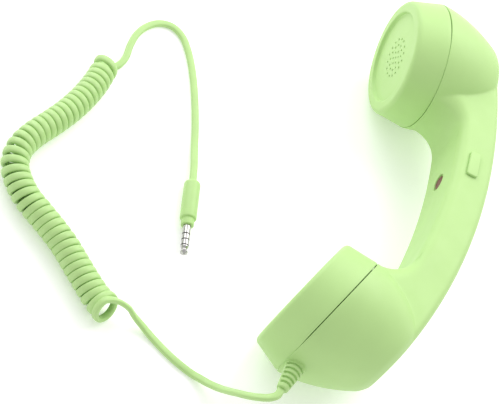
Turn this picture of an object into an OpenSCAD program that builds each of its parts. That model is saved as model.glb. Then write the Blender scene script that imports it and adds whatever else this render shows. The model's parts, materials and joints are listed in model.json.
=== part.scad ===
// Retro corded handset for a mobile phone, lying on its side beside its curly cord.
// Handset coordinates: x runs from the mouth end to the ear end, y towards the cap faces, z across.

/* [Cups] */
// Radius of each cup at the seam between cap and body
seam_r = 30; // [28:0.5:32]
// Distance between the centres of the two seams
seam_spacing = 152; // [148:1:156]
// Lean of the ear cup towards the mouth cup, degrees
ear_tilt = 16; // [14:0.5:18]
// Lean of the mouth cup towards the ear cup, degrees
mouth_tilt = 18.5; // [17:0.5:20]
// Depth of the ear cup's dome behind its seam, if the handle's back didn't cut it
ear_dome_depth = 46; // [44:0.5:48]
// Depth of the mouth cup's dome behind its seam, if the handle's back didn't cut it
mouth_dome_depth = 42; // [40:0.5:44]
// Lean of the ear cup's dome towards the handle, degrees
ear_lean = 6.5; // [5:0.5:8]
// Lean of the mouth cup's dome towards the handle, degrees
mouth_lean = 11; // [9:0.5:12]
// Depth of each cap in front of its seam
cap_depth = 15; // [14:0.5:16]
// Radius of each cap at its front rim
cap_front_r = 27.4; // [26.5:0.1:28]

/* [Handle] */
// Width of the handle across the hand
handle_w = 32; // [30:1:34]
// Thickness of the handle from its inner face to its back
handle_t = 18.5; // [17.5:0.5:19.5]
// Radius of the arched inner face
arch_r = 244; // [240:1:250]
// Wall thickness of the shells
wall = 2.2; // [2:0.1:2.6]

/* [Controls] */
// Radius of the answer button
button_r = 3.3; // [3:0.1:3.6]
// Travel of the answer button
button_travel = 0.6; // [0.4:0.1:0.8]
// Length of the volume slider's knob
knob_l = 13; // [11:0.5:14]
// Width of the volume slider's knob
knob_w = 5.2; // [4.8:0.1:5.4]
// Travel of the volume slider to each side of the middle
knob_travel = 3; // [2:0.5:3]

/* [Cord and plug] */
// Width of the flex
flex_d = 3.2; // [3:0.1:3.4]
// Outer diameter of the curly part
curl_d = 12; // [11.5:0.5:12]
// Radius of the plug's shaft
plug_r = 1.75; // [1.75]
// Radius of the plug's moulded sheath
sheath_r = 3.6; // [3.4:0.1:3.6]

/* [Colours] */
// Colour of the soft-touch shells, cord and sheath
shell_colour = "#c4e898"; // [#c4e898:Apple green, #f0ece0:Cream, #d8a0a0:Rose]
// Colour of the answer button
button_colour = "#8c1c1c"; // [#8c1c1c:Dark red, #303030:Black]

/* [Hidden] */
$fn = 72;

seam_gap = 0.4;
fit_gap = 0.15;
dome_steps = 12;
section_steps = 32;
section_power = 5;
// How full the domes are: 1 is a cone and 2 a half ellipse
dome_fullness = 1.5;

// The handle is a slice of a ring about this centre, which lies on the caps' side.
arch_x = seam_spacing / 2;
arch_y = arch_r - 26.5;
arch_mid_r = arch_r + handle_t / 2;
arch_half = 21;
arch_back_r = arch_r + handle_t;
ear_throat_r = 14;
ear_throat_z = 2;
mouth_throat_r = 11;
mouth_throat_z = 0.3;
throat_w = handle_w - 0.4;

// Where the inner cover ends at each end of the handle, as angles about the arch's centre
cover_from = -9.7;
cover_to = 9;
cover_w = 28;
button_at = 4.2;
button_recess_r = 4.1;
button_recess_d = 1;
knob_at = 5.1;
knob_r = arch_r + 8.3;
knob_h = 1.05;
stem_l = 5;
stem_w = 2.2;

board_y = -37;
board_t = 1.5;
board_from = 62;
board_to = 111;

spigot_r = seam_r - wall - 1.2;
spigot_l = 3;
face_recess = 1.6;
face_recess_r = 22;
relief_at = [-28, 5];
relief_lean = 8;
relief_l = 13.2;
relief_inside = 5;
relief_base_r = 4;
relief_tip_r = 2.4;
relief_slots = 5;

// One point of a dome's outline: radius and depth behind the seam, on a superellipse
function dome_point(a, depth, inset) = [
    (seam_r - inset) * pow(cos(a), 2 / dome_fullness),
    (depth - inset) * pow(sin(a), 2 / dome_fullness)];
function dome_reach(depth, tilt) = max([for (a = [0:1:90])
    let (p = dome_point(a, depth, 0)) p[0] * cos(tilt) + p[1] * sin(tilt)]);
ear_reach = dome_reach(ear_dome_depth, ear_tilt - ear_lean);
mouth_reach = dome_reach(mouth_dome_depth, mouth_tilt - mouth_lean);
front_reach = max(
    cap_depth * cos(ear_tilt) + cap_front_r * sin(ear_tilt),
    cap_depth * cos(mouth_tilt) + cap_front_r * sin(mouth_tilt));

// The row's origin is under the middle of the handset, on the surface that it lies on.
shift_x = (front_reach + arch_y - arch_r - handle_t) / 2;
shift_y = -(seam_spacing + ear_reach - mouth_reach) / 2;

// Route of the flex from the strain relief to the curly part
route_handset = [[-18.2, -117.6, 30], [-18.8, -120.4, 30], [-21.2, -122.6, 29.4],
    [-24.8, -123.4, 27.2], [-28.4, -123, 23.8], [-31.6, -121.6, 19.6], [-34.2, -119.6, 14.6],
    [-37.6, -116.8, 8.4], [-42.4, -114.4, 3.9], [-48.4, -112.5, 1.7], [-54.8, -111.2, 1.6],
    [-61.3, -109.3, 1.6], [-68, -106.8, 1.7], [-74.6, -104.6, 2.6], [-79.9, -103.8, 5.2],
    [-83.8, -103.7, 8.6], [-88, -105, 11.6]];
// Middle of the curly part, from the handset's end to the plug's end
route_curl = [[-90.3, -109.1, 8.4], [-93.7, -106.8, 6.6], [-97.7, -104.5, 6], [-103.7, -100.5, 6],
    [-110.7, -95.5, 6], [-117.7, -90.5, 6], [-124.7, -86.5, 6], [-132.7, -82.5, 6],
    [-140.7, -78.5, 6], [-147.7, -72.5, 6], [-151.7, -66.5, 6], [-153, -58.5, 6],
    [-151, -49.5, 6], [-146.7, -39, 6], [-143.2, -29.5, 6], [-140.4, -19, 6],
    [-138.7, -7.5, 6], [-138.4, 5, 6]];
// Route of the flex from the curly part to the plug
route_plug = [[-138.3, 4, 2.4], [-136.3, 6.9, 1.7], [-133.7, 11, 1.6], [-132.7, 17, 1.6],
    [-133.5, 24.5, 1.6], [-133.3, 32, 1.6], [-131, 39, 1.6], [-126.7, 44.5, 1.6],
    [-120.7, 46.7, 1.6], [-114.7, 44.5, 1.6], [-110, 39.5, 1.6], [-105.3, 32.5, 1.6],
    [-100.5, 23.5, 1.6], [-95.7, 13, 1.6], [-90.9, 1, 1.6], [-87.3, -9.5, 1.8],
    [-84, -20, 2.8], [-81.7, -28.5, 3.6]];
plug_at = [-81.7, -28.5, 3.6];
plug_heading = -75;

// Sweep of a round tube along a smooth curve through the given points
function blend_point(p, i, t) =
    let (n = len(p) - 1,
        a = p[max(i - 1, 0)],
        b = p[i],
        c = p[min(i + 1, n)],
        d = p[min(i + 2, n)])
    0.5 * (2 * b + t * (c - a) + t * t * (2 * a - 5 * b + 4 * c - d)
        + t * t * t * (3 * b - a - 3 * c + d));
function smooth(p, cuts) = concat(
    [for (i = [0:len(p) - 2]) for (k = [0:cuts - 1]) blend_point(p, i, k / cuts)],
    [p[len(p) - 1]]);
function unit(v) = v / norm(v);
function heading(p, i) = unit(p[min(i + 1, len(p) - 1)] - p[max(i - 1, 0)]);
function side_of(v) = abs(v[2]) > 0.9 ? unit(cross(v, [0, 1, 0])) : unit(cross(v, [0, 0, 1]));

module tube(points, r, sides, cuts) {
    path = smooth(points, cuts);
    rings = len(path);
    corners = [for (i = [0:rings - 1])
        let (v = heading(path, i), s = side_of(v), u = cross(s, v))
        for (k = [0:sides - 1])
            path[i] + r * (cos(360 * (k + 0.5) / sides) * s + sin(360 * (k + 0.5) / sides) * u)];
    walls = [for (i = [0:rings - 2]) for (k = [0:sides - 1])
        [i * sides + k, i * sides + (k + 1) % sides,
            (i + 1) * sides + (k + 1) % sides, (i + 1) * sides + k]];
    start = [for (k = [0:sides - 1]) sides - 1 - k];
    end = [for (k = [0:sides - 1]) (rings - 1) * sides + k];
    polyhedron(corners, concat(walls, [start, end]), convexity = 10);
}

// Frames: the handset on its side, each cup about its own axis, and a place on the arch
module lay() { translate([shift_x, shift_y, seam_r]) rotate([0, 0, 90]) children(); }
module ear_end() {
    lay() translate([seam_spacing, 0, 0]) rotate([0, 0, ear_tilt]) rotate([-90, 0, 0]) children();
}
module mouth_end() { lay() rotate([0, 0, -mouth_tilt]) rotate([-90, 0, 0]) children(); }
// x along the handle, y towards the hand's inner face, z across
module on_arch(at, r) {
    lay() translate([arch_x, arch_y, 0]) rotate([0, 0, at]) translate([0, -r, 0]) children();
}
// Looking from the inner face into the handle, with z along the button's push
module push_into(at, r) { on_arch(at, r) rotate([90, 0, 0]) children(); }

module ring(r_out, r_in, h) {
    difference() {
        cylinder(r = r_out, h = h);
        translate([0, 0, -1]) cylinder(r = r_in, h = h + 2);
    }
}

// Dome of a cup, leaning and open at its seam, with its back on -z
module dome(depth, lean, inset, front) {
    intersection() {
        rotate([0, lean, 0]) rotate_extrude() polygon(concat([[0, 10], [seam_r - inset, 10]],
            [for (i = [0:dome_steps])
                let (p = dome_point(90 * i / dome_steps, depth, inset)) [max(p[0], 0), -p[1]]]));
        translate([0, 0, front - 2 * depth]) cylinder(r = 2 * seam_r, h = 2 * depth);
    }
}
// Both domes, cut off where the handle's back runs through
module domes(inset, front) {
    intersection() {
        union() {
            ear_end() dome(ear_dome_depth, ear_lean, inset, front);
            mouth_end() dome(mouth_dome_depth, -mouth_lean, inset, front);
        }
        lay() translate([arch_x, arch_y, -seam_r - 1])
            cylinder(r = arch_back_r - inset, h = 2 * seam_r + 2, $fn = 180);
    }
}

module handle_section(inset) {
    polygon([for (i = [0:section_steps - 1])
        let (a = 360 * (i + 0.5) / section_steps, c = cos(a), s = sin(a))
        [arch_mid_r + sign(c) * (handle_t / 2 - inset) * pow(abs(c), 2 / section_power),
            sign(s) * (handle_w / 2 - inset) * pow(abs(s), 2 / section_power)]]);
}

module arch(from, to) {
    translate([arch_x, arch_y, 0]) rotate([0, 0, 270 + from])
        rotate_extrude(angle = to - from, $fn = 180) children();
}

// The handle, rounded off at each end where a dome's axis comes out through its back
function tip_x(cup_x, lean) =
    let (u = [sin(lean), -cos(lean)], q = [cup_x - arch_x, -arch_y], m = q * u)
    cup_x + u[0] * (sqrt(m * m - q * q + arch_back_r * arch_back_r) - m);
ear_tip_x = tip_x(seam_spacing, ear_tilt - ear_lean);
mouth_tip_x = tip_x(0, mouth_lean - mouth_tilt);
module handle(inset) {
    lay() intersection() {
        arch(-arch_half, arch_half) handle_section(inset);
        rotate([90, 0, 0]) union() {
            translate([mouth_tip_x, -seam_r, 0])
                cube([ear_tip_x - mouth_tip_x, 2 * seam_r, seam_spacing]);
            for (x = [mouth_tip_x, ear_tip_x])
                translate([x, 0, 0]) cylinder(r = handle_w / 2 - inset, h = seam_spacing);
        }
    }
}

// Concave flare round a cup's side that runs into the handle's inner face
module throat(r, z) {
    start = asin((z + seam_gap / 2) / r);
    intersection() {
        rotate_extrude() polygon(concat(
            [[seam_r - 6, -z - r - 2], [seam_r - 6, -seam_gap / 2]],
            [for (i = [0:8])
                let (a = start + (90 - start) * i / 8)
                [seam_r - 1 + r - r * cos(a), z - r * sin(a)]],
            [[seam_r - 1 + r, -z - r - 2]]));
        children();
    }
}

// Along the strain relief, from its root inside the cup towards its tip
module along_relief(z) {
    lay() translate(concat(relief_at, [0])) rotate([0, 0, 180 - relief_lean]) rotate([0, 90, 0])
        translate([0, 0, z]) children();
}
module relief_hole() {
    along_relief(-relief_inside - 2) cylinder(r = relief_base_r + fit_gap, h = relief_inside + 8);
}

// The stretch of the handle's inner side that the cover closes
module cover_zone(gap) {
    lay() arch(cover_from - gap / 5, cover_to + gap / 5)
        translate([arch_r - 6, -cover_w / 2 - gap]) square([10.5 + gap, cover_w + 2 * gap]);
}

module body_shell() {
    color(shell_colour) difference() {
        union() {
            domes(0, -seam_gap / 2);
            handle(0);
            ear_end() throat(ear_throat_r, ear_throat_z)
                translate([-2 * seam_r, -throat_w / 2, -seam_r])
                    cube([2 * seam_r, throat_w, 2 * seam_r]);
            mouth_end() throat(mouth_throat_r, mouth_throat_z)
                translate([0, -throat_w / 2, -seam_r]) cube([2 * seam_r, throat_w, 2 * seam_r]);
        }
        domes(wall, 1);
        handle(wall);
        cover_zone(fit_gap);
        relief_hole();
        on_arch(knob_at, knob_r)
            translate([-stem_l / 2 - knob_travel - 0.2, -stem_w / 2 - 0.3, handle_w / 2 - 5])
                cube([stem_l + 2 * knob_travel + 0.4, stem_w + 0.6, 6]);
    }
}

module handle_inner_cover() {
    color(shell_colour) difference() {
        intersection() {
            handle(0);
            cover_zone(0);
        }
        handle(wall);
        push_into(button_at, arch_r - 1) cylinder(r = button_recess_r, h = 1 + button_recess_d);
        push_into(button_at, arch_r - 1) cylinder(r = button_r + 0.2, h = 8);
    }
}

// Hollow cap with a rounded rim, a recessed disc and a spigot behind the seam
module cap(hole_rings, hole_r) {
    rim = 2.6;
    slope = (seam_r - cap_front_r) / cap_depth;
    difference() {
        rotate_extrude() polygon(concat(
            [[0, seam_gap / 2], [spigot_r - 1.2, seam_gap / 2], [spigot_r - 1.2, -spigot_l],
                [spigot_r, -spigot_l], [spigot_r, seam_gap / 2],
                [seam_r - slope * seam_gap / 2, seam_gap / 2]],
            [for (a = [0:15:90]) [cap_front_r - rim + rim * cos(a), cap_depth - rim + rim * sin(a)]],
            [[face_recess_r, cap_depth], [face_recess_r - 0.8, cap_depth - face_recess],
                [0, cap_depth - face_recess]]));
        translate([0, 0, -6]) cylinder(r1 = spigot_r - 1.2, r2 = cap_front_r - wall - 1.6,
            h = cap_depth + 6 - wall - face_recess);
        for (k = [0:len(hole_rings) - 1])
            for (i = [0:hole_rings[k][1] - 1])
                rotate(360 * i / hole_rings[k][1]) translate([hole_rings[k][0], 0, cap_depth - 5])
                    cylinder(r = hole_r, h = 6, $fn = 16);
    }
}
ear_holes = [[0, 1], [3, 6], [6, 12], [9, 16]];
mouth_holes = [[0, 1], [3.2, 6], [6.4, 10]];
module ear_cap() { color(shell_colour) ear_end() cap(ear_holes, 0.55); }
module mouth_cap() {
    color(shell_colour) difference() {
        mouth_end() cap(mouth_holes, 0.55);
        relief_hole();
    }
}

inside_z = cap_depth - wall - face_recess;
module cloth(r) { color("dimgray") translate([0, 0, inside_z - 0.35]) cylinder(r = r, h = 0.3); }
module ear_cloth() { ear_end() cloth(14); }
module mouth_cloth() { mouth_end() cloth(9); }
module speaker_gasket() {
    color("#303030") ear_end() translate([0, 0, inside_z - 1.8]) ring(20, 15, 1.7);
}
module speaker_frame() {
    color("#b8b8b8") ear_end() translate([0, 0, inside_z - 7.9]) difference() {
        union() {
            translate([0, 0, 4]) cylinder(r = 19.5, h = 2);
            cylinder(r1 = 12, r2 = 18, h = 4.1);
        }
        translate([0, 0, 1.2]) cylinder(r1 = 11, r2 = 17.4, h = 4.9);
        translate([0, 0, -1]) cylinder(r = 6, h = 4);
    }
}
module speaker_cone() {
    color("#404040") ear_end() translate([0, 0, inside_z - 5.6]) difference() {
        cylinder(r1 = 5.5, r2 = 15, h = 3.4);
        translate([0, 0, 0.5]) cylinder(r1 = 5, r2 = 14.8, h = 3.4);
    }
}
module speaker_magnet() {
    color("silver") ear_end() {
        translate([0, 0, inside_z - 13]) cylinder(r = 11, h = 5);
        translate([0, 0, inside_z - 8.1]) cylinder(r = 5.8, h = 1.6);
    }
}
module ear_weight() { color("gray") ear_end() translate([0, 0, -12]) ring(18, 6, 4.5); }
module mouth_weight() { color("gray") mouth_end() translate([0, 0, -13]) ring(17, 6, 4.5); }
module microphone_capsule() {
    color("silver") mouth_end() translate([0, 0, inside_z - 3.4]) cylinder(r = 3, h = 2.6);
}
module microphone_boot() {
    color("#202020") mouth_end() translate([0, 0, inside_z - 4.6]) difference() {
        cylinder(r = 5, h = 4.1);
        translate([0, 0, 1.15]) cylinder(r = 3.05, h = 4);
    }
}

module circuit_board() {
    color("darkgreen") lay() difference() {
        translate([board_from, board_y - board_t, -12.5]) cube([board_to - board_from, board_t, 25]);
        for (x = [board_from + 4, board_to - 4])
            translate([x, board_y + 1, -9]) rotate([90, 0, 0]) cylinder(r = 1.2, h = 4);
    }
}
module board_screws() {
    color("silver") lay() for (x = [board_from + 4, board_to - 4])
        translate([x, board_y + 1.3, -9]) rotate([90, 0, 0]) {
            cylinder(r = 2, h = 1.2);
            cylinder(r = 1, h = 4.6);
        }
}
module answer_switch() {
    color("#303030") push_into(button_at, arch_r + 4.3 + button_travel) {
        cylinder(r = 1.7, h = 1.6);
        translate([-3, -3, 1.5]) cube([6, 6, 4.4]);
    }
}
module answer_button() {
    color(button_colour) push_into(button_at, arch_r - 0.2) {
        difference() {
            cylinder(r = button_r, h = 2.4);
            translate([0, 0, -13.6]) sphere(r = 14);
        }
        translate([0, 0, 2.3]) cylinder(r = 1.5, h = 1.95);
        translate([0, 0, 2.3]) cylinder(r = button_r, h = 0.3);
        translate([0, 0, 2.55]) cylinder(r = button_r + 1, h = 0.65);
    }
}
module volume_pot() {
    color("#404040") on_arch(knob_at, knob_r) difference() {
        translate([-9, -2.2, 5]) cube([18, 4.9, 7.5]);
        translate([-stem_l / 2 - knob_travel - 0.4, -stem_w / 2 - 0.3, 7.5])
            cube([stem_l + 2 * knob_travel + 0.8, stem_w + 0.6, 6]);
    }
}
module volume_slider() {
    color(shell_colour) on_arch(knob_at, knob_r) {
        translate([-knob_l / 2, -knob_w / 2, handle_w / 2 + fit_gap])
            cube([knob_l, knob_w, knob_h]);
        translate([-stem_l / 2, -stem_w / 2, 8]) cube([stem_l, stem_w, handle_w / 2 - 7.8]);
    }
}

wire_sides = 8;
module wire_pair(points, offset_z) {
    for (k = [-1, 1])
        tube([for (p = points) p + [0, 0, offset_z * k]], 0.6, wire_sides, 1);
}
module speaker_wires() {
    color("firebrick") lay() wire_pair([[108, board_y + 1.2, 0], [118, -31, 0], [128, -27, 0],
        [140, -22, 0], [151.2, -16.4, 0], [152.2, -11.5, 0], [152.3, -3, 0]], 1.2);
}
module microphone_wires() {
    color("royalblue") lay() wire_pair([[64, board_y + 1.2, 0], [52, -35, 0], [38, -33, 0],
        [20, -27, 0], [7.7, -22, 0], [-0.8, -17.2, 0], [-2.8, -12.2, 0], [-1.5, -6.9, 0],
        [1.3, 2, 0], [2, 5.6, 0]], 1.2);
}
module cord_anchor() {
    color("#d0d0d0") along_relief(-relief_inside - 4.5) difference() {
        translate([-5, -3, 0]) cube([10, 6, 4]);
        translate([0, 0, -1]) cylinder(r = flex_d / 2 + 0.1, h = 6);
    }
}
// Tapered sleeve with rows of slots on two sides of a spine
module strain_relief() {
    slot_step = 2.15;
    color(shell_colour) along_relief(0) difference() {
        union() {
            translate([0, 0, -relief_inside]) cylinder(r = relief_base_r, h = relief_inside + 2);
            translate([0, 0, 2]) cylinder(r1 = relief_base_r, r2 = relief_tip_r, h = relief_l - 2);
        }
        for (i = [0:relief_slots - 1])
            translate([0, 0, relief_l - 2.8 - slot_step * i]) difference() {
                ring(relief_base_r + 1, relief_tip_r - 0.5 + 0.3 * i, 1);
                translate([-relief_base_r - 1, -0.9, -1]) cube([2 * relief_base_r + 2, 1.8, 4]);
            }
    }
}

module cord_lead_handset() { color(shell_colour) tube(route_handset, flex_d / 2, 8, 2); }
module curly_cord() { color(shell_colour) tube(route_curl, curl_d / 2, 12, 1); }
module cord_lead_plug() { color(shell_colour) tube(route_plug, flex_d / 2, 8, 1); }

// Along the plug, from the cord's end towards the tip
module along_plug(z) {
    translate(plug_at) rotate([0, 0, plug_heading]) rotate([0, 90, 0]) translate([0, 0, z]) children();
}
sheath_l = 19.5;
collar_l = 3.3;
collar_r = 2.8;
core_r = 0.9;
shaft_z = sheath_l + collar_l;
module plug_sheath() {
    color(shell_colour) along_plug(0) rotate_extrude() polygon(concat(
        [[0, 0], [1.9, 0]],
        [for (a = [0:15:90]) [sheath_r - 1.7 + 1.7 * sin(a), 2.4 - 2.4 * cos(a)]],
        [[sheath_r, sheath_l - 0.8], [sheath_r - 0.6, sheath_l], [collar_r, sheath_l],
            [collar_r, shaft_z - 0.3], [collar_r - 0.3, shaft_z], [0, shaft_z]]));
}
band = 0.55;
contact_z = [shaft_z, shaft_z + 4.2, shaft_z + 7, shaft_z + 9.8];
module contact(i) {
    from = contact_z[i] + (i == 0 ? 0 : band);
    along_plug(from) ring(plug_r, core_r, contact_z[i + 1] - from);
}
module plug_sleeve() { color("silver") contact(0); }
module plug_ring_mic() { color("silver") contact(1); }
module plug_ring_right() { color("silver") contact(2); }
module plug_insulators() {
    color("#101010") for (i = [1:3]) along_plug(contact_z[i]) ring(plug_r, core_r, band);
}
module plug_core() { color("gold") along_plug(shaft_z) cylinder(r = core_r, h = 11); }
module plug_tip() {
    color("silver") along_plug(contact_z[3] + band) difference() {
        rotate_extrude() polygon([[0, 0], [plug_r, 0], [plug_r, 0.5], [1.15, 1.5], [1.2, 1.8],
            [1.7, 2.9], [1.55, 3.5], [0.6, 4.15], [0, 4.15]]);
        translate([0, 0, -1]) cylinder(r = core_r, h = 1.65);
    }
}

body_shell();
handle_inner_cover();
ear_cap();
mouth_cap();
speaker_frame();
speaker_magnet();
speaker_cone();
speaker_gasket();
ear_cloth();
mouth_cloth();
ear_weight();
mouth_weight();
microphone_capsule();
microphone_boot();
circuit_board();
board_screws();
answer_switch();
answer_button();
volume_pot();
volume_slider();
speaker_wires();
microphone_wires();
cord_anchor();
strain_relief();
cord_lead_handset();
curly_cord();
cord_lead_plug();
plug_sheath();
plug_core();
plug_sleeve();
plug_ring_mic();
plug_ring_right();
plug_tip();
plug_insulators();
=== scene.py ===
import json
import math

import bmesh
import bpy
import numpy as np
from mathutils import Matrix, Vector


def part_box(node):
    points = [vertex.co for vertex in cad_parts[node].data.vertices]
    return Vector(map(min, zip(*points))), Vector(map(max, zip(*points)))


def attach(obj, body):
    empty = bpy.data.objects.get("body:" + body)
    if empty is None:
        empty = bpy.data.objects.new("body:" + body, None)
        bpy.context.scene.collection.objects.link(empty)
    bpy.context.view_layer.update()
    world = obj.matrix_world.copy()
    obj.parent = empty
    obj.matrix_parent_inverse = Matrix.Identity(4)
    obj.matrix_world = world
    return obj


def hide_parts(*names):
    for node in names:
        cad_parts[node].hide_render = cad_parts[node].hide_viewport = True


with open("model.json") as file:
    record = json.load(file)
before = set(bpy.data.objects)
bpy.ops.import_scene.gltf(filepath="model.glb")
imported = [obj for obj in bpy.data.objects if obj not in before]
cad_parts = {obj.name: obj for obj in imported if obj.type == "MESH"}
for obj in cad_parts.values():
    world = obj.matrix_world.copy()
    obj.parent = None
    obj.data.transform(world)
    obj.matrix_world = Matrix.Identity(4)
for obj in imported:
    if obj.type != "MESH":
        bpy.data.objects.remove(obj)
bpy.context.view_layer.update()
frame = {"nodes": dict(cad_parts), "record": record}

import openvdb as vdb
from mathutils import Vector
from mathutils.geometry import delaunay_2d_cdt

MM = 0.001

# The handset's own axes, in mm: x from the mouth end to the ear end, y towards the caps and z
# across. The board's corner, whose place in them is known, gives the shift to the row frame.
BOARD_CORNER = (37, 62)
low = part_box("circuit_board")[0]
SHIFT = np.array([low[0] / MM - BOARD_CORNER[0], low[1] / MM - BOARD_CORNER[1], 30.0])
HANDSET = "handset"
UP = np.array([0, 0, 1.0])


def to_row(points):
    """Handset coordinates in mm to the row frame in metres."""
    p = np.asarray(points, float)
    return (np.stack([-p[..., 1], p[..., 0], p[..., 2]], -1) + SHIFT) * MM


def rad(degrees):
    return math.radians(degrees)


# ---------------------------------------------------------------- camera and light
scene = bpy.context.scene
camera = bpy.data.objects.new("camera", bpy.data.cameras.new("camera"))
scene.collection.objects.link(camera)
camera.location = (-0.13757, -0.44368, 0.54284)
camera.rotation_euler = [rad(a) for a in (32.17, -22.39, 20.12)]
camera.data.sensor_width = 36
camera.data.lens = 113.44
camera.data.clip_start, camera.data.clip_end = 0.01, 20
scene.camera = camera


def area_light(name, at, aim, size, power, colour):
    lamp = bpy.data.objects.new(name, bpy.data.lights.new(name, "AREA"))
    scene.collection.objects.link(lamp)
    lamp.data.shape, lamp.data.size = "DISK", size
    lamp.data.energy, lamp.data.color = power, colour
    lamp.location = at
    lamp.rotation_euler = (Vector(aim) - Vector(at)).to_track_quat("-Z", "Y").to_euler()


area_light("key", (0.25, 0.55, 0.62), (-0.03, 0, 0), 0.8, 4.4, (1, 0.99, 0.97))
area_light("fill", (-1.0, 1.0, 0.8), (-0.05, 0, 0), 1.4, 12, (0.98, 0.99, 1))
world = bpy.data.worlds.new("studio")
scene.world = world
world.use_nodes = True
world.node_tree.nodes["Background"].inputs["Color"].default_value = (1, 1, 1, 1)
world.node_tree.nodes["Background"].inputs["Strength"].default_value = 0.74
scene.view_settings.view_transform = "Standard"


# ---------------------------------------------------------------- materials
class Shader:
    """A Principled material whose colour, roughness and bump come from nodes."""

    def __init__(self, name, **sockets):
        self.material = bpy.data.materials.new(name)
        self.material.use_nodes = True
        self.tree = self.material.node_tree
        self.shader = self.tree.nodes["Principled BSDF"]
        for key, value in sockets.items():
            self.shader.inputs[key.replace("_", " ")].default_value = value
        self.place = self.node("ShaderNodeTexCoord").outputs["Object"]
        self.height = None

    def node(self, kind, **values):
        made = self.tree.nodes.new(kind)
        for key, value in values.items():
            setattr(made, key, value)
        return made

    def link(self, a, b):
        self.tree.links.new(a, b)

    def stretched(self, scale):
        """Object coordinates, each axis multiplied by its own factor."""
        mapping = self.node("ShaderNodeMapping")
        mapping.inputs["Scale"].default_value = scale
        self.link(self.place, mapping.inputs["Vector"])
        return mapping.outputs["Vector"]

    def noise(self, scale, detail=3.0, rough=0.5, vector=None):
        made = self.node("ShaderNodeTexNoise")
        made.inputs["Scale"].default_value = scale
        made.inputs["Detail"].default_value = detail
        made.inputs["Roughness"].default_value = rough
        self.link(vector or self.place, made.inputs["Vector"])
        return made.outputs["Fac"]

    def cells(self, scale):
        made = self.node("ShaderNodeTexVoronoi", feature="F1")
        made.inputs["Scale"].default_value = scale
        self.link(self.place, made.inputs["Vector"])
        return made.outputs["Distance"]

    def waves(self, scale, direction):
        made = self.node("ShaderNodeTexWave", bands_direction=direction)
        made.inputs["Scale"].default_value = scale
        self.link(self.place, made.inputs["Vector"])
        return made.outputs["Fac"]

    def ramp(self, factor, stops):
        made = self.node("ShaderNodeValToRGB")
        while len(made.color_ramp.elements) < len(stops):
            made.color_ramp.elements.new(0.5)
        for element, (at, colour) in zip(made.color_ramp.elements, stops):
            element.position, element.color = at, (*colour, 1)
        self.link(factor, made.inputs["Fac"])
        return made.outputs["Color"]

    def spread(self, factor, low_value, high_value):
        made = self.node("ShaderNodeMapRange")
        made.inputs["From Min"].default_value = 0.3
        made.inputs["From Max"].default_value = 0.7
        made.inputs["To Min"].default_value = low_value
        made.inputs["To Max"].default_value = high_value
        self.link(factor, made.inputs["Value"])
        return made.outputs["Result"]

    def colour(self, factor, dark, light):
        self.link(self.ramp(factor, [(0.3, dark), (0.7, light)]), self.shader.inputs["Base Color"])

    def roughness(self, factor, low_value, high_value):
        self.link(self.spread(factor, low_value, high_value), self.shader.inputs["Roughness"])

    def bump(self, factor, distance, strength=1.0):
        """Adds a bump of that height in metres on top of the ones before it."""
        made = self.node("ShaderNodeBump")
        made.inputs["Distance"].default_value = distance
        made.inputs["Strength"].default_value = strength
        self.link(factor, made.inputs["Height"])
        if self.height:
            self.link(self.height, made.inputs["Normal"])
        self.height = made.outputs["Normal"]
        self.link(self.height, self.shader.inputs["Normal"])


def tone(colour, factor):
    return tuple(min(1.0, c * factor) for c in colour)


def soft_touch(name, colour, grain=1.0, rough=(0.46, 0.58)):
    """Matt rubbery lacquer on moulded plastic: fine grain, a faint mottle and a soft sheen."""
    s = Shader(name, Coat_Weight=0.06, Coat_Roughness=0.35, Specular_IOR_Level=0.42)
    s.colour(s.noise(45, 3, 0.55), tone(colour, 0.975), tone(colour, 1.02))
    s.roughness(s.noise(160, 4, 0.6), *rough)
    s.bump(s.noise(22, 2), 0.00006 * grain)
    s.bump(s.noise(2600, 2), 0.000012 * grain)
    return s.material


def rubber(name, colour, rough=(0.36, 0.48)):
    """Smooth extruded or moulded rubber with faint flow lines."""
    s = Shader(name, Coat_Weight=0.05, Coat_Roughness=0.3, Specular_IOR_Level=0.45)
    s.colour(s.noise(120, 3, 0.6), tone(colour, 0.96), tone(colour, 1.025))
    s.roughness(s.noise(300, 3), *rough)
    s.bump(s.noise(420, 3), 0.00002)
    s.bump(s.noise(3500, 2), 0.000006)
    return s.material


def moulded(name, colour, rough=(0.3, 0.5), grain=1400, height=0.00001, coat=0.0):
    s = Shader(name, Coat_Weight=coat, Coat_Roughness=0.12)
    s.colour(s.noise(180, 3), tone(colour, 0.85), tone(colour, 1.12))
    s.roughness(s.noise(260, 4), *rough)
    s.bump(s.noise(grain, 3), height)
    return s.material


def metal(name, colour, rough=(0.18, 0.34), brush=(1, 1, 1), height=0.000004):
    s = Shader(name, Metallic=1.0)
    s.colour(s.noise(220, 4, 0.6), tone(colour, 0.88), tone(colour, 1.06))
    s.roughness(s.noise(340, 4, 0.65), *rough)
    s.bump(s.noise(900, 3, 0.6, s.stretched(brush)), height)
    return s.material


def paper(name, colour):
    s = Shader(name, Roughness=0.85)
    s.colour(s.noise(900, 5, 0.7), tone(colour, 0.7), tone(colour, 1.5))
    s.roughness(s.noise(700, 3), 0.75, 0.95)
    s.bump(s.noise(1500, 5, 0.7), 0.00006)
    return s.material


def foam(name, colour):
    s = Shader(name, Roughness=0.9)
    s.colour(s.cells(1400), tone(colour, 0.4), tone(colour, 1.6))
    s.roughness(s.noise(500), 0.8, 0.95)
    s.bump(s.cells(1400), 0.0002)
    return s.material


def weave(name, colour):
    s = Shader(name, Roughness=0.8, Sheen_Weight=0.3)
    across = s.waves(900, "X")
    along = s.waves(900, "Z")
    both = s.node("ShaderNodeMath", operation="MULTIPLY")
    s.link(across, both.inputs[0])
    s.link(along, both.inputs[1])
    s.colour(both.outputs[0], tone(colour, 0.5), tone(colour, 1.7))
    s.roughness(s.noise(400), 0.7, 0.9)
    s.bump(both.outputs[0], 0.0001)
    return s.material


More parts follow.
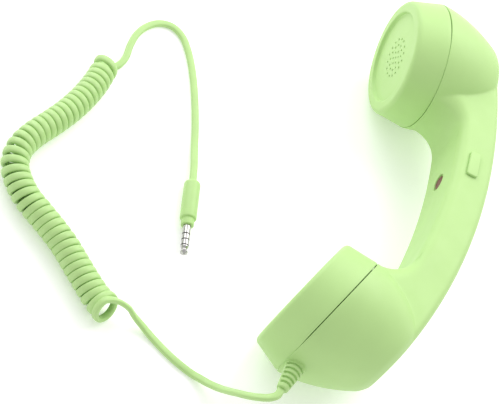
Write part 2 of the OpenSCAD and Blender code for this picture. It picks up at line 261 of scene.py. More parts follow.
def laminate(name, colour):
    """Solder mask over copper tracks."""
    s = Shader(name, Coat_Weight=0.4, Coat_Roughness=0.15)
    tracks = s.cells(260)
    s.colour(tracks, tone(colour, 0.7), tone(colour, 1.9))
    s.roughness(s.noise(300), 0.25, 0.4)
    s.bump(tracks, 0.00003)
    return s.material


GREEN = (0.46, 0.695, 0.262)
MAKERS = {
    "soft_touch_shell": lambda n: soft_touch(n, GREEN),
    "soft_touch_cap": lambda n: soft_touch(n, GREEN, 1.1),
    "knob_green": lambda n: soft_touch(n, GREEN, 0.6),
    "cord_rubber": lambda n: rubber(n, GREEN),
    "sheath_rubber": lambda n: rubber(n, GREEN, (0.4, 0.5)),
    "button_red": lambda n: moulded(n, (0.13, 0.006, 0.004), (0.34, 0.46), 900, 0.000006),
    "stamped_steel": lambda n: metal(n, (0.62, 0.62, 0.64), (0.3, 0.45), (4, 1, 1), 0.00001),
    "magnet_nickel": lambda n: metal(n, (0.7, 0.69, 0.66), (0.12, 0.22)),
    "paper_cone": lambda n: paper(n, (0.03, 0.03, 0.032)),
    "foam": lambda n: foam(n, (0.04, 0.04, 0.04)),
    "acoustic_cloth": lambda n: weave(n, (0.02, 0.02, 0.022)),
    "zinc_steel": lambda n: metal(n, (0.5, 0.5, 0.52), (0.35, 0.5), (1, 3, 1), 0.00001),
    "capsule_can": lambda n: metal(n, (0.78, 0.78, 0.79), (0.2, 0.3)),
    "black_rubber": lambda n: moulded(n, (0.02, 0.02, 0.02), (0.6, 0.8), 1100, 0.00002),
    "board_laminate": lambda n: laminate(n, (0.012, 0.11, 0.04)),
    "screw_steel": lambda n: metal(n, (0.6, 0.6, 0.6), (0.25, 0.4), (1, 1, 5)),
    "switch_plastic": lambda n: moulded(n, (0.03, 0.03, 0.032), (0.4, 0.55)),
    "pot_body": lambda n: moulded(n, (0.045, 0.045, 0.05), (0.45, 0.6)),
    "wire_red": lambda n: moulded(n, (0.45, 0.02, 0.02), (0.3, 0.4), 700, 0.00001, 0.2),
    "wire_blue": lambda n: moulded(n, (0.02, 0.06, 0.42), (0.3, 0.4), 700, 0.00001, 0.2),
    "anchor_nylon": lambda n: moulded(n, (0.62, 0.62, 0.58), (0.4, 0.55), 800, 0.00001),
    "contact_brass": lambda n: metal(n, (0.74, 0.55, 0.26), (0.15, 0.28)),
    "contact_metal": lambda n: metal(n, (0.5, 0.49, 0.48), (0.12, 0.22), (1, 1, 3), 0.000002),
    "insulator_black": lambda n: moulded(n, (0.006, 0.006, 0.006), (0.4, 0.5), 900, 0.000004),
}
MATERIALS = {name: make(name) for name, make in MAKERS.items()}

slot_of = {p["node"]: p["material_slot"] for p in frame["record"]["subparts"]}
for node_name, part in frame["nodes"].items():
    if not part.material_slots:
        part.data.materials.append(None)
    for one in part.material_slots:
        one.material = MATERIALS[slot_of[node_name]]


def place(name, points, faces, slot, body, replaced=()):
    """A piece from points in the row frame, in metres, riding a body."""
    mesh = bpy.data.meshes.new(name)
    mesh.from_pydata([tuple(p) for p in points], [], [tuple(f) for f in faces])
    mesh.validate()
    for polygon in mesh.polygons:
        polygon.use_smooth = True
    piece = bpy.data.objects.new(name, mesh)
    scene.collection.objects.link(piece)
    mesh.materials.append(MATERIALS[slot])
    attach(piece, body)
    if replaced:
        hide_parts(*replaced)
    return piece


def crease(piece, degrees):
    """Sharp edges where faces meet at more than that angle."""
    piece.data.set_sharp_from_angle(angle=rad(degrees))


# ---------------------------------------------------------------- cord
CORD_W, CORD_T = 3.2, 2.2
SQUARED = 2 / 3.2  # exponent of the flex's section: 1 is an ellipse, less is squarer
COIL_R = 4.9
PITCH = 3.25
LEAN_OPEN = 0.75  # how much of a bend's outer side opens the pitch there
OPEN_MOST = 0.5
END_STEPS, END_OPEN = 24, 0.5  # the last turn is spread out by this factor
END_GROW, END_FADE = 1.3, 7  # the first turns are wider, by mm, fading over radians
FIRST_OUT = (0.284, 0.816, 0.504)  # where the coil starts round its middle line
PER_TURN = 24
SIDES = 16
CUTS = 12
COIL_STEP, LEAD_STEP = 0.25, 1.0
BEND_WINDOW = 33
FLAT_BELOW, FLAT_OVER = 2.6, 0.9  # heights between which a lead turns flat on the floor
JOINT_REACH, JOINT_ROUNDS = 5, 30
TURN_IN, TURN_OUT = 0.12, 0.035  # pull of the leads' flat side towards the floor, per step
FLOOR_GAP = 0.02
ROUTE_HANDSET = [(-18.2, -117.6, 30), (-18.8, -120.4, 30), (-21.2, -122.6, 29.4),
    (-24.8, -123.4, 27.2), (-28.4, -123, 23.8), (-31.6, -121.6, 19.6), (-34.2, -119.6, 14.6),
    (-37.6, -116.8, 8.4), (-42.4, -114.4, 3.9), (-48.4, -112.5, 1.7), (-54.8, -111.2, 1.6),
    (-61.3, -109.3, 1.6), (-68, -106.8, 1.7), (-74.6, -104.6, 2.6), (-79.9, -103.8, 5.2),
    (-83.8, -103.7, 8.6), (-88, -105, 11.6)]
ROUTE_CURL = [(-90.3, -109.1, 8.4), (-93.7, -106.8, 6.6), (-97.7, -104.5, 6),
    (-103.7, -100.5, 6), (-110.7, -95.5, 6), (-117.7, -90.5, 6), (-124.7, -86.5, 6),
    (-132.7, -82.5, 6), (-140.7, -78.5, 6), (-147.7, -72.5, 6), (-151.7, -66.5, 6),
    (-153, -58.5, 6), (-151, -49.5, 6), (-146.7, -39, 6), (-143.2, -29.5, 6),
    (-140.4, -19, 6), (-138.7, -7.5, 6), (-138.4, 5, 6)]
ROUTE_PLUG = [(-138.3, 4, 2.4), (-136.3, 6.9, 1.7), (-133.7, 11, 1.6), (-132.7, 17, 1.6),
    (-133.5, 24.5, 1.6), (-133.3, 32, 1.6), (-131, 39, 1.6), (-126.7, 44.5, 1.6),
    (-120.7, 46.7, 1.6), (-114.7, 44.5, 1.6), (-110, 39.5, 1.6), (-105.3, 32.5, 1.6),
    (-100.5, 23.5, 1.6), (-95.7, 13, 1.6), (-90.9, 1, 1.6), (-87.3, -9.5, 1.8),
    (-84, -20, 2.8), (-81.7, -28.5, 3.6)]
PLUG_AT, PLUG_HEADING = np.array([-81.7, -28.5, 3.6]), rad(-75)
PLUG_WAY = np.array([math.cos(PLUG_HEADING), math.sin(PLUG_HEADING), 0])
INSIDE_RELIEF = (-17.5, -114.2, 30)


def unit(v):
    v = np.asarray(v, float)
    return v / np.maximum(np.linalg.norm(v, axis=-1, keepdims=True), 1e-12)


def spline(points, cuts):
    """A smooth curve through the points, with that many steps between two of them."""
    p = np.asarray(points, float)
    ends = len(p) - 1
    out = []
    for i in range(ends):
        a, b, c, d = (p[min(max(i + k, 0), ends)] for k in (-1, 0, 1, 2))
        for t in np.arange(cuts) / cuts:
            out.append(0.5 * (2 * b + t * (c - a) + t * t * (2 * a - 5 * b + 4 * c - d)
                + t ** 3 * (3 * b - a - 3 * c + d)))
    return np.array(out + [p[-1]])


def evenly(points, step):
    """The same line with its points at an even distance."""
    along = np.concatenate([[0], np.cumsum(np.linalg.norm(np.diff(points, axis=0), axis=1))])
    at = np.linspace(0, along[-1], max(2, round(along[-1] / step) + 1))
    return np.stack([np.interp(at, along, points[:, k]) for k in range(3)], 1)


def frames(line):
    """Directions along a line, and a side direction that turns as little as it can."""
    ahead = unit(np.gradient(line, axis=0))
    side = [unit(np.cross(ahead[0], (0, 0, 1)))]
    for k in range(1, len(line)):
        side.append(unit(side[-1] - ahead[k] * np.dot(side[-1], ahead[k])))
    return ahead, np.array(side)


def helix():
    """The curly part: points, and the outward directions that its flat side faces."""
    middle = evenly(spline(ROUTE_CURL, CUTS), COIL_STEP)
    ahead, side = frames(middle)
    up = np.cross(side, ahead)
    bend = np.linalg.norm(np.gradient(ahead, axis=0), axis=1) / COIL_STEP
    kernel = np.ones(BEND_WINDOW) / BEND_WINDOW
    bend = np.convolve(np.pad(bend, BEND_WINDOW // 2, mode="edge"), kernel, "valid")
    turn = COIL_STEP / (PITCH / np.maximum(1 - LEAN_OPEN * COIL_R * bend, OPEN_MOST))
    turn[-END_STEPS:] *= END_OPEN
    phase = np.concatenate([[0], np.cumsum(turn[1:])]) * 2 * math.pi
    first = unit(FIRST_OUT)
    start = math.atan2(np.dot(first, up[0]), np.dot(first, side[0]))
    last = math.atan2(-up[-1][2], -side[-1][2])
    total = phase[-1]
    wanted = (last - start) % (2 * math.pi)
    turns = round((total - wanted) / (2 * math.pi)) * 2 * math.pi + wanted
    phase *= turns / total
    grow = COIL_R + END_GROW * np.exp(-phase / END_FADE)
    count = int(turns / (2 * math.pi) * PER_TURN)
    at = np.linspace(0, turns, count + 1)
    pick = np.interp(at, phase, np.arange(len(middle)))
    base, s, u, r = (np.stack([np.interp(pick, np.arange(len(middle)), a[:, k])
        for k in range(a.shape[1])], 1) for a in (middle, side, up, grow[:, None]))
    angle = start + at
    out = unit(np.cos(angle)[:, None] * s + np.sin(angle)[:, None] * u)
    return base + out * r, out


def on_floor(line):
    """The flex lies flat, lower than a round one of its width would."""
    low_by = (CORD_W - CORD_T) / 2 * np.clip((FLAT_BELOW - line[:, 2]) / FLAT_OVER, 0, 1)
    return line - np.stack([0 * low_by, 0 * low_by, low_by], 1)


def relax(values, weights, rounds):
    """Evens out a line of values where the weights allow it; both ends stay."""
    values = values.copy()
    for _ in range(rounds):
        middle = (values[:-2] + values[2:]) / 2
        values[1:-1] += weights[1:-1, None] * 0.5 * (middle - values[1:-1])
    return values


def tube_faces(rings, sides):
    faces = [(i * sides + k, i * sides + (k + 1) % sides, (i + 1) * sides + (k + 1) % sides,
        (i + 1) * sides + k) for i in range(rings - 1) for k in range(sides)]
    return faces + [tuple(range(sides))[::-1], tuple((rings - 1) * sides + k for k in range(sides))]


coil, coil_out = helix()
lead_in = on_floor(evenly(spline([INSIDE_RELIEF] + ROUTE_HANDSET, CUTS), LEAD_STEP))
lead_out = on_floor(evenly(spline(ROUTE_PLUG, CUTS), LEAD_STEP))
lead_out[-12:, 2] = np.linspace(lead_out[-12, 2], PLUG_AT[2], 12)  # it rises to the plug
lead_out = np.vstack([lead_out, lead_out[-1] + PLUG_WAY * 1.5, lead_out[-1] + PLUG_WAY * 3])
line = np.vstack([lead_in[:-2], coil, lead_out[2:]])
thin = np.vstack([np.tile((0, 0, 1.0), (len(lead_in) - 2, 1)), coil_out,
    np.tile((0, 0, -1.0), (len(lead_out) - 2, 1))])
first_turn, last_turn = len(lead_in) - 2, len(lead_in) - 2 + len(coil)
near = np.zeros(len(line))
for joint in (first_turn, last_turn):
    near = np.maximum(near, np.clip(1 - np.abs(np.arange(len(line)) - joint) / JOINT_REACH, 0, 1))
line = relax(line, near, JOINT_ROUNDS)
ahead = unit(np.gradient(line, axis=0))


def carry_flat(order, step, pull):
    """Carries the flat side from one point to the next and pulls it towards the floor."""
    for k in order:
        before = thin[k - step]
        thin[k] = before - ahead[k] * np.dot(before, ahead[k])
        thin[k] = unit(thin[k] + pull * UP * (1 if thin[k][2] > 0 else -1))


carry_flat(range(last_turn, len(thin)), 1, TURN_OUT)
carry_flat(range(first_turn - 1, -1, -1), -1, TURN_IN)
thin = unit(thin - ahead * np.sum(thin * ahead, 1, keepdims=True))
wide = np.cross(ahead, thin)
corner = np.arange(SIDES) * 2 * math.pi / SIDES
oval = np.stack([np.sign(np.cos(corner)) * np.abs(np.cos(corner)) ** SQUARED * CORD_W / 2,
    np.sign(np.sin(corner)) * np.abs(np.sin(corner)) ** SQUARED * CORD_T / 2], 1)
rings = line[:, None] + oval[None, :, :1] * wide[:, None] + oval[None, :, 1:] * thin[:, None]
rings[..., 2] = np.maximum(rings[..., 2], FLOOR_GAP)
cord = place("cord", rings.reshape(-1, 3) * MM, tube_faces(len(line), SIDES), "cord_rubber",
    HANDSET, ("cord_lead_handset", "curly_cord", "cord_lead_plug"))


# ---------------------------------------------------------------- the handset's form
SEAM_R, SPACING = 30.0, 152.0
ARCH = (76.0, 217.5)
ARCH_R, BACK_R = 244.0, 262.5
EAR_TILT, MOUTH_TILT = rad(16), rad(18.5)
FULL = 1.6
CUPS = {
    "ear": {"at": (SPACING, 0.0), "up": (-math.sin(EAR_TILT), math.cos(EAR_TILT)),
        "in": (-math.cos(EAR_TILT), -math.sin(EAR_TILT)), "depth": 46.0, "lean": rad(5),
        "throat": 16.0},
    "mouth": {"at": (0.0, 0.0), "up": (math.sin(MOUTH_TILT), math.cos(MOUTH_TILT)),
        "in": (math.cos(MOUTH_TILT), -math.sin(MOUTH_TILT)), "depth": 42.0, "lean": rad(10),
        "throat": 17.0},
}
TIPS = (-4.27, 157.4)
HALF_W = 16.0
SEAM_GAP = 0.2
THROAT_FADE = 0.12  # the ear's throat is tighter at the handle's sides by this part
EDGE_IN, EDGE_BACK, CREASE = 4.2, 3.3, 0.35
WALL = 2.0
NEAR_CUP = 45.0  # beyond this distance from its axis a cup's seam has no effect
FAR = 9.0
ROUND_BOTTOM = 3.0
PAST_SEAM = 3.0


def cup_axes(cup):
    """Origin, outward axis and direction towards the handle of a cup, as 3-D vectors."""
    return [np.array([*cup[k], 0.0]) for k in ("at", "up", "in")]


def in_cup(p, cup):
    """Height in front of the seam, distance towards the handle, distance across."""
    at, up, inward = cup_axes(cup)
    rel = p - at
    return rel @ up, rel @ inward, rel[..., 2]


def from_cup(points, cup):
    """Points (towards the handle, across, height) of a cup, in handset coordinates."""
    at, up, inward = cup_axes(cup)
    q = np.asarray(points, float)
    side = np.cross(up, inward)
    return at + q[..., :1] * inward + q[..., 1:2] * side + q[..., 2:] * up


def dome(p, cup):
    """Signed distance, nearly, from a cup's dome with its tip leaning to the handle."""
    t, q, n = in_cup(p, cup)
    back = np.maximum(-t, 0)
    r = np.hypot(q - back * math.tan(cup["lean"]), n)
    total = np.maximum((r / SEAM_R) ** FULL + (back / cup["depth"]) ** FULL, 1e-6)
    g = total ** (1 / FULL)
    by_r = g ** (1 - FULL) * (r / SEAM_R) ** (FULL - 1) / SEAM_R
    by_t = g ** (1 - FULL) * (back / cup["depth"]) ** (FULL - 1) / cup["depth"]
    return (g - 1) / np.maximum(np.hypot(by_r, by_t), 0.01)


def join(a, b, r):
    """Union with a fillet of radius r."""
    return np.maximum(r, np.minimum(a, b)) - np.hypot(np.maximum(r - a, 0), np.maximum(r - b, 0))


def meet(a, b, r):
    """Intersection with its edge rounded to radius r."""
    return np.minimum(-r, np.maximum(a, b)) + np.hypot(np.maximum(r + a, 0), np.maximum(r + b, 0))


def body_form(p):
    """Signed distance, nearly, from both domes and the handle between them."""
    along, across = p[..., 0], p[..., 2]
    rho = np.hypot(along - ARCH[0], p[..., 1] - ARCH[1])
    inner, back = ARCH_R - rho, rho - BACK_R
    ear, mouth = dome(p, CUPS["ear"]), dome(p, CUPS["mouth"])
    soften = 1 - THROAT_FADE * np.clip(np.abs(across) / HALF_W, 0, 1) ** 2
    profile = join(inner, ear, CUPS["ear"]["throat"] * soften)
    profile = join(profile, mouth, CUPS["mouth"]["throat"])
    plan = np.hypot(along - np.clip(along, *TIPS), across) - HALF_W
    handle = meet(meet(profile, plan, EDGE_IN), back, EDGE_BACK)
    both = meet(np.minimum(ear, mouth), back, ROUND_BOTTOM)
    form = join(handle, both, CREASE)
    for cup in CUPS.values():
        t, q, n = in_cup(p, cup)
        form = np.maximum(form, np.where(np.hypot(q, n) < NEAR_CUP, t - PAST_SEAM, -FAR))
    return form


def slope(field, p, step=0.03):
    """Gradient of a field by central differences."""
    out = np.empty_like(p)
    for k in range(3):
        move = np.zeros(3)
        move[k] = step
        out[:, k] = (field(p + move) - field(p - move)) / (2 * step)
    return out


def skin_of(field, low_corner, high_corner, cell, settle=3):
    """Quads over the zero surface of a field, with their points moved onto it."""
    low_corner = np.asarray(low_corner, float)
    counts = np.ceil((np.asarray(high_corner, float) - low_corner) / cell).astype(int) + 1
    axes = [low_corner[k] + cell * np.arange(counts[k]) for k in range(3)]
    values = np.empty(counts, np.float32)
    for i, x in enumerate(axes[0]):
        grid = np.stack(np.meshgrid([x], axes[1], axes[2], indexing="ij"), -1)[0]
        values[i] = np.clip(field(grid), -3 * cell, 3 * cell)
    volume = vdb.FloatGrid(3.0 * cell)
    volume.copyFromArray(values, tolerance=0)
    points, quads = volume.convertToQuads(isovalue=0.0)
    points = low_corner + cell * points.astype(float)
    for _ in range(settle):
        g = slope(field, points)
        size = np.maximum(np.sum(g * g, 1), 0.05)
        move = -field(points)[:, None] * g / size[:, None]
        length = np.maximum(np.linalg.norm(move, axis=1, keepdims=True), 1e-9)
        points += move * np.minimum(1, 0.6 * cell / length)
    a, b, c, d = (points[quads[:, k]] for k in range(4))
    volume_sign = np.sum(a * np.cross(b, c)) + np.sum(a * np.cross(c, d))
    return points, quads if volume_sign > 0 else quads[:, ::-1]


def bmesh_of(points, faces):
    mesh = bpy.data.meshes.new("work")
    mesh.from_pydata([tuple(p) for p in points], [], [tuple(int(i) for i in f) for f in faces])
    bm = bmesh.new()
    bm.from_mesh(mesh)
    bpy.data.meshes.remove(mesh)
    return bm


def carve(bm, field, snap=0.15):
    """Cuts the mesh along field = 0 and drops the side where the field is negative."""
    bm.verts.ensure_lookup_table()
    bm.normal_update()
    co = np.array([v.co[:] for v in bm.verts])
    value = field(co)
    close = np.nonzero(np.abs(value) < snap)[0]
    if len(close):
        normal = np.array([bm.verts[i].normal[:] for i in close])
        g = slope(field, co[close])
        g -= normal * np.sum(g * normal, 1, keepdims=True)
        size = np.sum(g * g, 1)
        for k, i in enumerate(close):
            if size[k] > 0.2:
                bm.verts[i].co = co[i] - value[i] * g[k] / size[k]
                value[i] = 0.0
    layer = bm.verts.layers.float.new("side")
    for v, one in zip(bm.verts, value):
        v[layer] = one
    crossing = [e for e in bm.edges if e.verts[0][layer] * e.verts[1][layer] < 0]
    for e in crossing:
        a, b = e.verts
        part = a[layer] / (a[layer] - b[layer])
        at = a.co.lerp(b.co, part)
        made = bmesh.utils.edge_split(e, a, part)[1]
        made.co = at
        made[layer] = 0.0
    for f in list(bm.faces):
        sides = [v[layer] for v in f.verts]
        if min(sides) < 0 < max(sides):
            zero = [v for v in f.verts if v[layer] == 0.0]
            if len(zero) == 2:
                bmesh.utils.face_split(f, zero[0], zero[1])
    gone = [f for f in bm.faces if max((v[layer] for v in f.verts), key=abs) < 0
        or all(v[layer] == 0 for v in f.verts) and field(np.array([f.calc_center_median()[:]]))[0] < 0]
    bmesh.ops.delete(bm, geom=gone, context="FACES")
    bm.verts.layers.float.remove(layer)


def boundary(bm):
    """Open edges as pairs of point numbers, each in its face's direction."""
    bm.verts.index_update()
    pairs = []
    for e in bm.edges:
        if e.is_boundary:
            loop = e.link_loops[0]
            pairs.append((loop.vert.index, loop.link_loop_next.vert.index))
    return pairs


def thick(bm, field, wall, bevel):
    """Points and faces of a closed shell: the skin, an inner skin, and rounded rims between."""
    pairs = boundary(bm)
    p = np.array([v.co[:] for v in bm.verts])
    faces = [[v.index for v in f.verts] for f in bm.faces]
    n = unit(slope(field, p))
    soft = bevel(p)[:, None]
    out = np.zeros_like(p)
    for a, b in pairs:
        o = np.cross(p[b] - p[a], n[a] + n[b])
        out[a] += o
        out[b] += o
    rim = sorted({i for pair in pairs for i in pair})
    out = unit(out)
    points = [p]
    ring = {i: i for i in rim}
    rings = [dict(ring)]
    count = len(p)
    for angle in (30, 60, 90):
        a = rad(angle)
        points.append(p[rim] + out[rim] * soft[rim] * math.sin(a)
            - n[rim] * soft[rim] * (1 - math.cos(a)))
        rings.append({i: count + k for k, i in enumerate(rim)})
        count += len(rim)
    inner = p - n * wall
    inner[rim] += out[rim] * soft[rim]
    points.append(inner)
    rings.append({i: count + i for i in rim})
    walls = [(low_ring[b], low_ring[a], high_ring[a], high_ring[b])
        for low_ring, high_ring in zip(rings, rings[1:]) for a, b in pairs]
    return np.vstack(points), faces + walls + [[count + i for i in reversed(f)] for f in faces]


# ---------------------------------------------------------------- shell and cover
COVER_FROM, COVER_TO, COVER_HALF, COVER_CORNER = rad(-9.7), rad(9.0), 14.2, 6.0
KNOB_AT, KNOB_R = rad(5.1), ARCH_R + 8.3
BUTTON_AT = rad(4.2)
RECESS_R, RECESS_EASE = 4.1, 0.35
BEVEL = 0.14
SLOT_L, SLOT_W = 11.4, 2.8
COVER_SEAM, COVER_CORNER_SEAM = 0.015, 0.15
COVER_PART = 1.3  # the cover and the shell each step back from their line by this times the rounding


def arch_angle(p):
    return np.arctan2(p[..., 0] - ARCH[0], ARCH[1] - p[..., 1])


def on_arch(at, r, q):
    """Points x along the handle, y towards the inner face, z across, at a place on the arch."""
    q = np.asarray(q, float)
    y = q[..., 1] - r
    return np.stack([ARCH[0] + q[..., 0] * math.cos(at) - y * math.sin(at),
        ARCH[1] + q[..., 0] * math.sin(at) + y * math.cos(at), q[..., 2]], -1)


def rounded_box(x, y, half_x, half_y, r):
    """Signed distance from a rounded rectangle in a plane."""
    dx, dy = np.abs(x) - half_x + r, np.abs(y) - half_y + r
    return np.hypot(np.maximum(dx, 0), np.maximum(dy, 0)) + np.minimum(np.maximum(dx, dy), 0) - r


def cover_line(p):
    """Signed distance from the cover's outline, far from it on the handle's back."""
    rho = np.hypot(p[..., 0] - ARCH[0], p[..., 1] - ARCH[1])
    middle, half = (COVER_FROM + COVER_TO) / 2, (COVER_TO - COVER_FROM) / 2 * ARCH_R
    x = (arch_angle(p) - middle) * ARCH_R
    flat = rounded_box(x, p[..., 2], half, COVER_HALF, COVER_CORNER)
    return np.where(rho > ARCH_R + 8, np.maximum(flat, 1.0), flat)


def ease(x, start, end):
    """0 before start, 1 after end, and smooth between them."""
    t = np.clip((x - start) / (end - start), 0, 1)
    return t * t * (3 - 2 * t)


def seam_fade(cup, q):
    """0 where a cup's seam is open and 1 where it closes, by distance towards the handle."""
    return ease(q, -4, 14) if cup == "ear" else ease(np.abs(q), 24, 29)


def seam_ease(p):
    """Rounding of the seams' edges."""
    ear, mouth = (in_cup(p, CUPS[name])[1] for name in ("ear", "mouth"))
    fade = np.where(p[..., 0] > ARCH[0], seam_fade("ear", ear), seam_fade("mouth", mouth))
    return BEVEL * (1 - 0.9 * fade)


def seam_line(name):
    """Positive behind a cup's seam, and everywhere away from the cup."""
    def field(p):
        t, q, n = in_cup(p, CUPS[name])
        gap = SEAM_GAP * seam_ease(p) / BEVEL
        return np.where(np.hypot(q, n) < NEAR_CUP, -t - gap - seam_ease(p), FAR)
    return field


def cover_ease(p):
    """Rounding of the cover's edge, which only shows round the corners at its mouth end."""
    x = (arch_angle(p) - COVER_FROM) * ARCH_R
    return COVER_SEAM + COVER_CORNER_SEAM * (1 - ease(x, 4, 9)) * ease(np.abs(p[..., 2]), 7, 11)


def shell_ease(p):
    near_cover = np.abs(cover_line(p)) < 0.6
    return np.where(near_cover, cover_ease(p), seam_ease(p))


def slot_line(p):
    """Positive outside the slot that the slider's stem runs in."""
    x = (arch_angle(p) - KNOB_AT) * KNOB_R
    y = np.hypot(p[..., 0] - ARCH[0], p[..., 1] - ARCH[1]) - KNOB_R
    flat = rounded_box(x, y, SLOT_L / 2 + BEVEL, SLOT_W / 2 + BEVEL, SLOT_W / 2)
    return np.where(p[..., 2] > HALF_W / 2, flat, FAR)


def recess_line(p):
    """Positive outside the recess round the answer button."""
    x = (arch_angle(p) - BUTTON_AT) * ARCH_R
    return np.hypot(x, p[..., 2]) - RECESS_R - RECESS_EASE


def part_ease(p):
    return np.where(np.abs(recess_line(p)) < 0.3, RECESS_EASE, cover_ease(p))


CELL = 0.8
FORM_LOW, FORM_HIGH = (-38, -52, -34), (190, 14, 34)
skin_points, skin_quads = skin_of(body_form, FORM_LOW, FORM_HIGH, CELL)
skin = bmesh_of(skin_points, skin_quads)
for cup_name in CUPS:
    carve(skin, seam_line(cup_name))
cover = skin.copy()
carve(skin, lambda p: cover_line(p) - COVER_PART * cover_ease(p))
carve(skin, slot_line)
carve(cover, lambda p: -cover_line(p) - COVER_PART * cover_ease(p))
carve(cover, recess_line)
for piece_name, bm, rounding, node_name in (
        ("shell", skin, shell_ease, "body_shell"),
        ("inner_cover", cover, part_ease, "handle_inner_cover")):
    wall_points, wall_faces = thick(bm, body_form, WALL, rounding)
    place(piece_name, to_row(wall_points), wall_faces, "soft_touch_shell", HANDSET, (node_name,))


# ---------------------------------------------------------------- turned pieces
def lathe(profile, segments):
    """Points and faces of a profile (radius, height) turned about z. A radius of 0 is one point."""
    angles = np.arange(segments) * 2 * math.pi / segments
    points, index = [], []
    for r, z in profile:
        if r < 1e-6:
            index.append([len(points)] * segments)
            points.append((0, 0, z))
        else:
            index.append(list(range(len(points), len(points) + segments)))
            points += [(r * math.cos(a), r * math.sin(a), z) for a in angles]
    faces = []
    for a, b in zip(index, index[1:]):
        for k in range(segments):
            m = (k + 1) % segments
            face = list(dict.fromkeys((a[k], a[m], b[m], b[k])))
            if len(face) > 2:
                faces.append(face)
    return np.array(points, float), faces, index


def arc(cx, cy, r, start, end, steps):
    return [(cx + r * math.cos(rad(a)), cy + r * math.sin(rad(a)))
        for a in np.linspace(start, end, steps + 1)]


def disc_with_holes(radius, segments, holes, hole_r, sides):
    """Triangles of a flat disc whose round holes are left open: points, faces, hole rings."""
    points = [(radius * math.cos(2 * math.pi * k / segments),
        radius * math.sin(2 * math.pi * k / segments)) for k in range(segments)]
    edges = [(k, (k + 1) % segments) for k in range(segments)]
    hole_rings = []
    for x, y in holes:
        first = len(points)
        hole_rings.append(list(range(first, first + sides)))
        points += [(x + hole_r * math.cos(2 * math.pi * k / sides),
            y + hole_r * math.sin(2 * math.pi * k / sides)) for k in range(sides)]
        edges += [(first + k, first + (k + 1) % sides) for k in range(sides)]
    vectors = [Vector(p) for p in points]
    _, _, faces, origin, _, _ = delaunay_2d_cdt(vectors, edges, [], 0, 1e-5)
    back = [o[0] for o in origin]
    kept = []
    for f in faces:
        face = [back[i] for i in f]
        middle = np.mean([points[i] for i in face], 0)
        if all(math.hypot(middle[0] - x, middle[1] - y) > hole_r * 0.95 for x, y in holes):
            a, b, c = (np.array(points[i]) for i in face[:3])
            turn = (b[0] - a[0]) * (c[1] - a[1]) - (b[1] - a[1]) * (c[0] - a[0])
            kept.append(face if turn > 0 else face[::-1])
    return np.array(points), kept, hole_rings


CAP_DEPTH, CAP_FRONT = 15.0, 27.4
DISC_R, DISC_Z, DISC_BACK = 20.6, 13.4, 11.2
HOLE_R, HOLE_EASE = 0.55, 0.13
CAP_SIDE_R, CAP_ROUND = 29.78, 2.6
CAP_INSET = [(DISC_R, DISC_Z), (20.95, 13.43), (21.2, 13.55), (21.35, 13.8), (21.6, 14.6),
    (21.72, 14.84), (21.95, 14.97), (22.2, CAP_DEPTH), (23.4, CAP_DEPTH)]
CAP_EDGE = arc(CAP_FRONT - CAP_ROUND, CAP_DEPTH - CAP_ROUND, CAP_ROUND, 90, 8, 9)
CAP_SIDE = [(28.6, 6.6), (29.5, 2.2), (CAP_SIDE_R, 0.7), (29.74, 0.36), (29.56, 0.2)]
CAP_SPIGOT = [(26.6, 0.2), (26.6, -2.8), (26.4, -3), (25.6, -3), (25.4, -2.8), (23.6, 10.4),
    (22.8, DISC_BACK), (DISC_R, DISC_BACK)]
CAP_PROFILE = CAP_INSET + CAP_EDGE + CAP_SIDE + CAP_SPIGOT
CAP_SEGMENTS, HOLE_SIDES = 128, 20
SHARP_CAP, SHARP_TURNED, SHARP_RELIEF = 34, 40, 45


def close_seam(points, cup):
    """A cap's lower edge brought down and out to the shell where its seam fades."""
    points = np.array(points, float)
    r = np.hypot(points[:, 0], points[:, 1])
    lower_edge = (np.abs(r - 29.65) < 0.12) * (points[:, 2] < 0.5)
    fade = 0.9 * seam_fade(cup, points[:, 0]) * lower_edge
    points[:, :2] *= (1 + fade * (CAP_SIDE_R - r) / r)[:, None]
    points[:, 2] *= 1 - fade * 0.85
    return points


def cap(name, cup, hole_rings, node):
    """A cap with its recessed disc. A ring of holes is its radius and the number of holes."""
    points, faces, index = lathe(CAP_PROFILE[::-1], CAP_SEGMENTS)
    holes = [(r * math.cos(2 * math.pi * k / n), r * math.sin(2 * math.pi * k / n))
        for r, n in hole_rings for k in range(n)]
    flat, tris, openings = disc_with_holes(DISC_R, CAP_SEGMENTS, holes, HOLE_R + HOLE_EASE,
        HOLE_SIDES)
    centre_of = {i: holes[h] for h, ring in enumerate(openings) for i in ring}
    points = close_seam(points, cup)
    front, back = list(index[-1]), list(index[0])
    extra = [tuple(p) for p in points]
    for i in range(CAP_SEGMENTS, len(flat)):
        front.append(len(extra))
        extra.append((*flat[i], DISC_Z))
    steps = []
    for rim, z in ((0.04, DISC_Z - 0.04), (0.0, DISC_Z - HOLE_EASE), (0.0, DISC_BACK)):
        level = {}
        for i, (cx, cy) in centre_of.items():
            part = (HOLE_R + rim) / (HOLE_R + HOLE_EASE)
            level[i] = len(extra)
            extra.append((cx + (flat[i][0] - cx) * part, cy + (flat[i][1] - cy) * part, z))
        steps.append(level)
    back += [steps[-1][i] for i in range(CAP_SEGMENTS, len(flat))]
    faces += [[front[i] for i in f] for f in tris] + [[back[i] for i in reversed(f)] for f in tris]
    levels = [{i: front[i] for i in centre_of}] + steps
    for ring in openings:
        for k, i in enumerate(ring):
            m = ring[(k + 1) % HOLE_SIDES]
            faces += [[a[i], a[m], b[m], b[i]] for a, b in zip(levels, levels[1:])]
    piece = place(name, to_row(from_cup(extra, CUPS[cup])), faces, "soft_touch_cap", HANDSET,
        (node,))
    crease(piece, SHARP_CAP)
    up_x, up_y = CUPS[cup]["up"]
    for face in piece.data.polygons:
        if abs(face.normal.dot(Vector((-up_y, up_x, 0)))) > 0.9999:
            face.use_smooth = False


